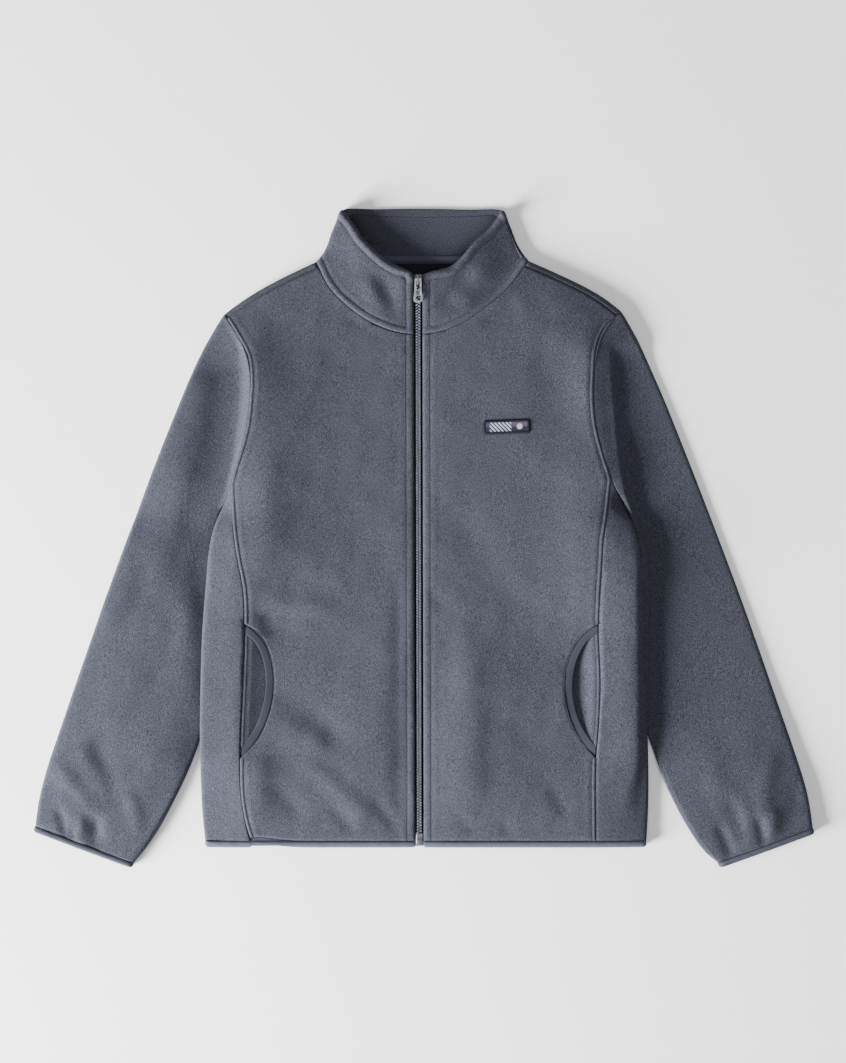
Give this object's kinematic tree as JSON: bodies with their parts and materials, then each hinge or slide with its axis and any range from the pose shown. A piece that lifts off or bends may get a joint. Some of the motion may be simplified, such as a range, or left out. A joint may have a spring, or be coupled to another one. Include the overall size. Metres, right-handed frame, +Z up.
{
  "type": "fleece zip jacket",
  "caption": "Fleece jacket with a stand-up collar, full-length front zip, curved hand pockets and bound hem and cuffs, laid flat on its back with its sleeves at its sides.",
  "frame": {"origin": "on the surface it lies on, under the middle of the garment's box", "axes": "+X across the garment towards the wearer's left sleeve, +Y from the hem to the collar, +Z up, away from the surface, with the front uppermost"},
  "size_m": [0.9364, 0.7902, 0.0262],
  "materials": {
    "fleece": "brushed matt nap",
    "binding": "smooth matt knit",
    "zip_tape": "woven",
    "zip_coil": "satin",
    "zip_metal": "satin",
    "label": "woven"
  },
  "bodies": {
    "garment": {"back_panel": "fleece", "chest_label": "label", "collar": "fleece", "cuff_binding_left": "binding", "cuff_binding_right": "binding", "front_left": "fleece", "front_right": "fleece", "hem_binding": "binding", "neck_tape": "binding", "pocket_binding_left": "binding", "pocket_binding_right": "binding", "pocket_facing_left": "fleece", "pocket_facing_right": "fleece", "side_panel_left": "fleece", "side_panel_right": "fleece", "sleeve_left": "fleece", "sleeve_right": "fleece", "zip_box": "zip_metal", "zip_chain": "zip_coil", "zip_slider": "zip_metal", "zip_tape_left": "zip_tape", "zip_tape_right": "zip_tape"},
    "pull_tab": {"zip_pull_tab": "zip_metal"}
  },
  "joints": [
    {"name": "pull_tab_hinge", "type": "hinge", "parent": "garment", "child": "pull_tab", "pos_m": [-0.00708, 0.3076, 0.0232], "axis": [-1, 0, 0], "range_deg": [0, 170]}
  ]
}
